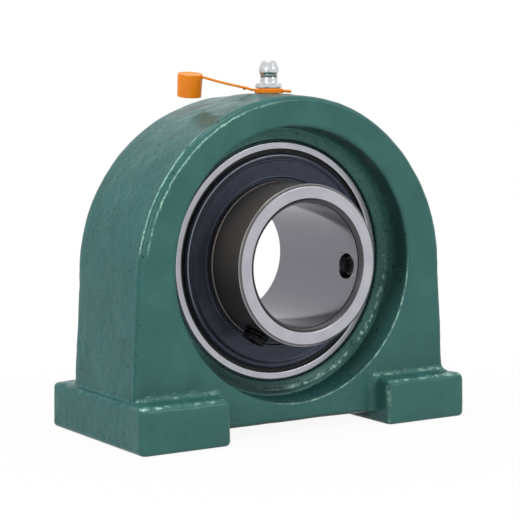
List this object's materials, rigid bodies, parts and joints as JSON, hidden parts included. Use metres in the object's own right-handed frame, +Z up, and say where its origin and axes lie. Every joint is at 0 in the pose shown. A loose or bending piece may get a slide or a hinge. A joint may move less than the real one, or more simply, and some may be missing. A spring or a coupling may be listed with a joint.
{
  "type": "pillow block bearing",
  "caption": "Cast pillow block with tapped feet holding a self-aligning insert ball bearing with set screws, a grease nipple and a strapped dust cap.",
  "frame": {"origin": "on the base plane, midway between the two base bolts and straight below the middle of the bearing", "axes": "+X along the feet, +Y from the set-screw face (front) to the back along the shaft, +Z up"},
  "size_m": [0.1088, 0.0548, 0.1045],
  "materials": {
    "green_paint": "satin enamel over sand-cast iron, smooth on the front face",
    "ring_steel": "ground",
    "slinger_dark": "dark satin phosphate",
    "seal_rubber": "matt",
    "cage_nylon": "moulded",
    "ball_steel": "polished",
    "black_oxide": "black oxide, oiled",
    "zinc_plate": "bright zinc plate",
    "spring_steel": "drawn wire",
    "orange_plastic": "moulded, semi-gloss"
  },
  "bodies": {
    "housing": {"housing": "green_paint", "grease_nipple": "zinc_plate", "nipple_spring": "spring_steel"},
    "insert_outer": {"outer_ring": "ring_steel", "seal_front": "seal_rubber", "seal_back": "seal_rubber"},
    "insert_inner": {"inner_ring": "ring_steel", "slinger_front": "slinger_dark", "slinger_back": "slinger_dark"},
    "cage": {"cage": "cage_nylon"},
    "ball_1": {"ball_1": "ball_steel"},
    "ball_2": {"ball_2": "ball_steel"},
    "ball_3": {"ball_3": "ball_steel"},
    "ball_4": {"ball_4": "ball_steel"},
    "ball_5": {"ball_5": "ball_steel"},
    "ball_6": {"ball_6": "ball_steel"},
    "ball_7": {"ball_7": "ball_steel"},
    "ball_8": {"ball_8": "ball_steel"},
    "ball_9": {"ball_9": "ball_steel"},
    "set_screw_1": {"set_screw_1": "black_oxide"},
    "set_screw_2": {"set_screw_2": "black_oxide"},
    "nipple_ball": {"nipple_ball": "ball_steel"},
    "cap_ring": {"cap_ring": "orange_plastic"},
    "cap_arm": {"cap_strap": "orange_plastic", "dust_cap": "orange_plastic"}
  },
  "joints": [
    {"name": "insert_tilt", "type": "hinge", "parent": "housing", "child": "insert_outer", "pos_m": [0, 0, 0.0476], "axis": [1, 0, 0], "range_deg": [-2, 2]},
    {"name": "shaft_spin", "type": "hinge", "parent": "insert_outer", "child": "insert_inner", "pos_m": [0, 0, 0.0476], "axis": [0, 1, 0], "continuous": true},
    {"name": "cage_orbit", "type": "hinge", "parent": "insert_outer", "child": "cage", "pos_m": [0, 0, 0.0476], "axis": [0, 1, 0], "continuous": true},
    {"name": "ball_1_spin", "type": "hinge", "parent": "cage", "child": "ball_1", "pos_m": [0.02634, 0, 0.05225], "axis": [0, 1, 0], "continuous": true},
    {"name": "ball_2_spin", "type": "hinge", "parent": "cage", "child": "ball_2", "pos_m": [0.01719, 0, 0.06809], "axis": [0, 1, 0], "continuous": true},
    {"name": "ball_3_spin", "type": "hinge", "parent": "cage", "child": "ball_3", "pos_m": [0, 0, 0.07435], "axis": [0, 1, 0], "continuous": true},
    {"name": "ball_4_spin", "type": "hinge", "parent": "cage", "child": "ball_4", "pos_m": [-0.01719, 0, 0.06809], "axis": [0, 1, 0], "continuous": true},
    {"name": "ball_5_spin", "type": "hinge", "parent": "cage", "child": "ball_5", "pos_m": [-0.02634, 0, 0.05225], "axis": [0, 1, 0], "continuous": true},
    {"name": "ball_6_spin", "type": "hinge", "parent": "cage", "child": "ball_6", "pos_m": [-0.02317, 0, 0.03422], "axis": [0, 1, 0], "continuous": true},
    {"name": "ball_7_spin", "type": "hinge", "parent": "cage", "child": "ball_7", "pos_m": [-0.00915, 0, 0.02246], "axis": [0, 1, 0], "continuous": true},
    {"name": "ball_8_spin", "type": "hinge", "parent": "cage", "child": "ball_8", "pos_m": [0.00915, 0, 0.02246], "axis": [0, 1, 0], "continuous": true},
    {"name": "ball_9_spin", "type": "hinge", "parent": "cage", "child": "ball_9", "pos_m": [0.02317, 0, 0.03422], "axis": [0, 1, 0], "continuous": true},
    {"name": "set_screw_1_travel", "type": "slide", "parent": "insert_inner", "child": "set_screw_1", "axis": [-0.9962, 0, 0.0872], "range_m": [-0.002, 0.0008]},
    {"name": "set_screw_2_travel", "type": "slide", "parent": "insert_inner", "child": "set_screw_2", "axis": [0.5736, 0, 0.8192], "range_m": [-0.002, 0.0008]},
    {"name": "nipple_ball_travel", "type": "slide", "parent": "housing", "child": "nipple_ball", "axis": [0, 0, -1], "range_m": [0, 0.0008], "stiffness_N_per_m": 150, "springref_m": -0.0004, "deforming": ["nipple_spring"]},
    {"name": "cap_swivel", "type": "hinge", "parent": "housing", "child": "cap_ring", "pos_m": [0, -0.005, 0.0959], "axis": [0, 0, 1], "range_deg": [-15, 265]},
    {"name": "cap_lift", "type": "hinge", "parent": "cap_ring", "child": "cap_arm", "pos_m": [-0.00389, -0.00228, 0.09625], "axis": [0.5736, 0.8192, 0], "range_deg": [0, 75]}
  ],
  "couplings": [
    {"joint": "cage_orbit", "follows": "shaft_spin", "ratio": 0.39615},
    {"joint": "ball_1_spin", "follows": "shaft_spin", "ratio": -2.3035},
    {"joint": "ball_2_spin", "follows": "shaft_spin", "ratio": -2.3035},
    {"joint": "ball_3_spin", "follows": "shaft_spin", "ratio": -2.3035},
    {"joint": "ball_4_spin", "follows": "shaft_spin", "ratio": -2.3035},
    {"joint": "ball_5_spin", "follows": "shaft_spin", "ratio": -2.3035},
    {"joint": "ball_6_spin", "follows": "shaft_spin", "ratio": -2.3035},
    {"joint": "ball_7_spin", "follows": "shaft_spin", "ratio": -2.3035},
    {"joint": "ball_8_spin", "follows": "shaft_spin", "ratio": -2.3035},
    {"joint": "ball_9_spin", "follows": "shaft_spin", "ratio": -2.3035}
  ]
}
